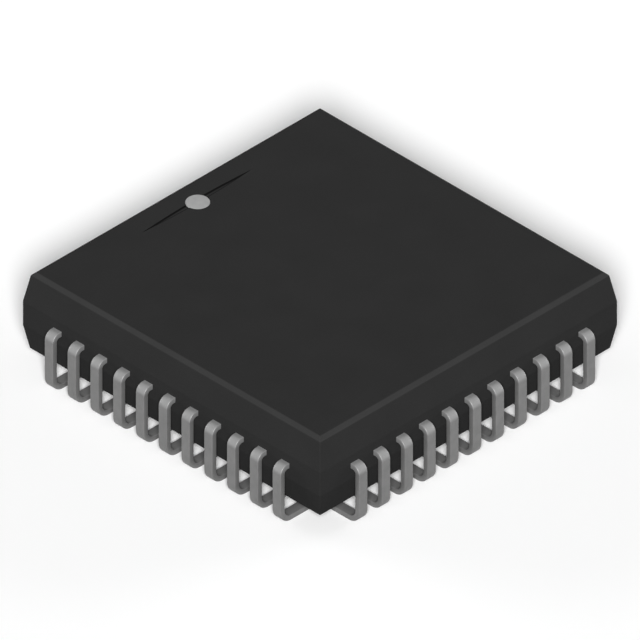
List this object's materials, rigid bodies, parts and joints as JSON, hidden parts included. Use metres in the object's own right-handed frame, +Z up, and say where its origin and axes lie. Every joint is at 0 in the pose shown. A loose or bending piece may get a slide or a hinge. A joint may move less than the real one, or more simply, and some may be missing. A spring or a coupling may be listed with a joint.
{
  "type": "crosspoint switch chip",
  "caption": "Square black moulded chip carrier with drafted sides and tin-plated J leads along all four edges, with a leadframe, a chip and bond wires inside.",
  "frame": {"origin": "middle of the footprint, on the plane that the lead feet stand on", "axes": "+Z up through the top of the moulding, +Y towards the side with the pin-one dot, +X to the right of it seen from above"},
  "size_m": [0.0176, 0.0176, 0.0046],
  "materials": {
    "moulding_compound": "fine spark-eroded matte, near black",
    "tin_plated_lead": "matte electroplated tin",
    "leadframe_copper": "stamped copper alloy",
    "silver_adhesive": "cured silver-filled paste",
    "silicon": "polished and patterned silicon",
    "gold_wire": "drawn gold",
    "marking_ink": "pale grey marking ink"
  },
  "bodies": {
    "root": {"mould_body": "moulding_compound", "lead_01": "tin_plated_lead", "lead_02": "tin_plated_lead", "lead_03": "tin_plated_lead", "lead_04": "tin_plated_lead", "lead_05": "tin_plated_lead", "lead_06": "tin_plated_lead", "lead_07": "tin_plated_lead", "lead_08": "tin_plated_lead", "lead_09": "tin_plated_lead", "lead_10": "tin_plated_lead", "lead_11": "tin_plated_lead", "lead_12": "tin_plated_lead", "lead_13": "tin_plated_lead", "lead_14": "tin_plated_lead", "lead_15": "tin_plated_lead", "lead_16": "tin_plated_lead", "lead_17": "tin_plated_lead", "lead_18": "tin_plated_lead", "lead_19": "tin_plated_lead", "lead_20": "tin_plated_lead", "lead_21": "tin_plated_lead", "lead_22": "tin_plated_lead", "lead_23": "tin_plated_lead", "lead_24": "tin_plated_lead", "lead_25": "tin_plated_lead", "lead_26": "tin_plated_lead", "lead_27": "tin_plated_lead", "lead_28": "tin_plated_lead", "lead_29": "tin_plated_lead", "lead_30": "tin_plated_lead", "lead_31": "tin_plated_lead", "lead_32": "tin_plated_lead", "lead_33": "tin_plated_lead", "lead_34": "tin_plated_lead", "lead_35": "tin_plated_lead", "lead_36": "tin_plated_lead", "lead_37": "tin_plated_lead", "lead_38": "tin_plated_lead", "lead_39": "tin_plated_lead", "lead_40": "tin_plated_lead", "lead_41": "tin_plated_lead", "lead_42": "tin_plated_lead", "lead_43": "tin_plated_lead", "lead_44": "tin_plated_lead", "die_paddle": "leadframe_copper", "die_attach": "silver_adhesive", "silicon_die": "silicon", "bond_wires": "gold_wire", "pin_one_dot": "marking_ink"}
  },
  "joints": []
}
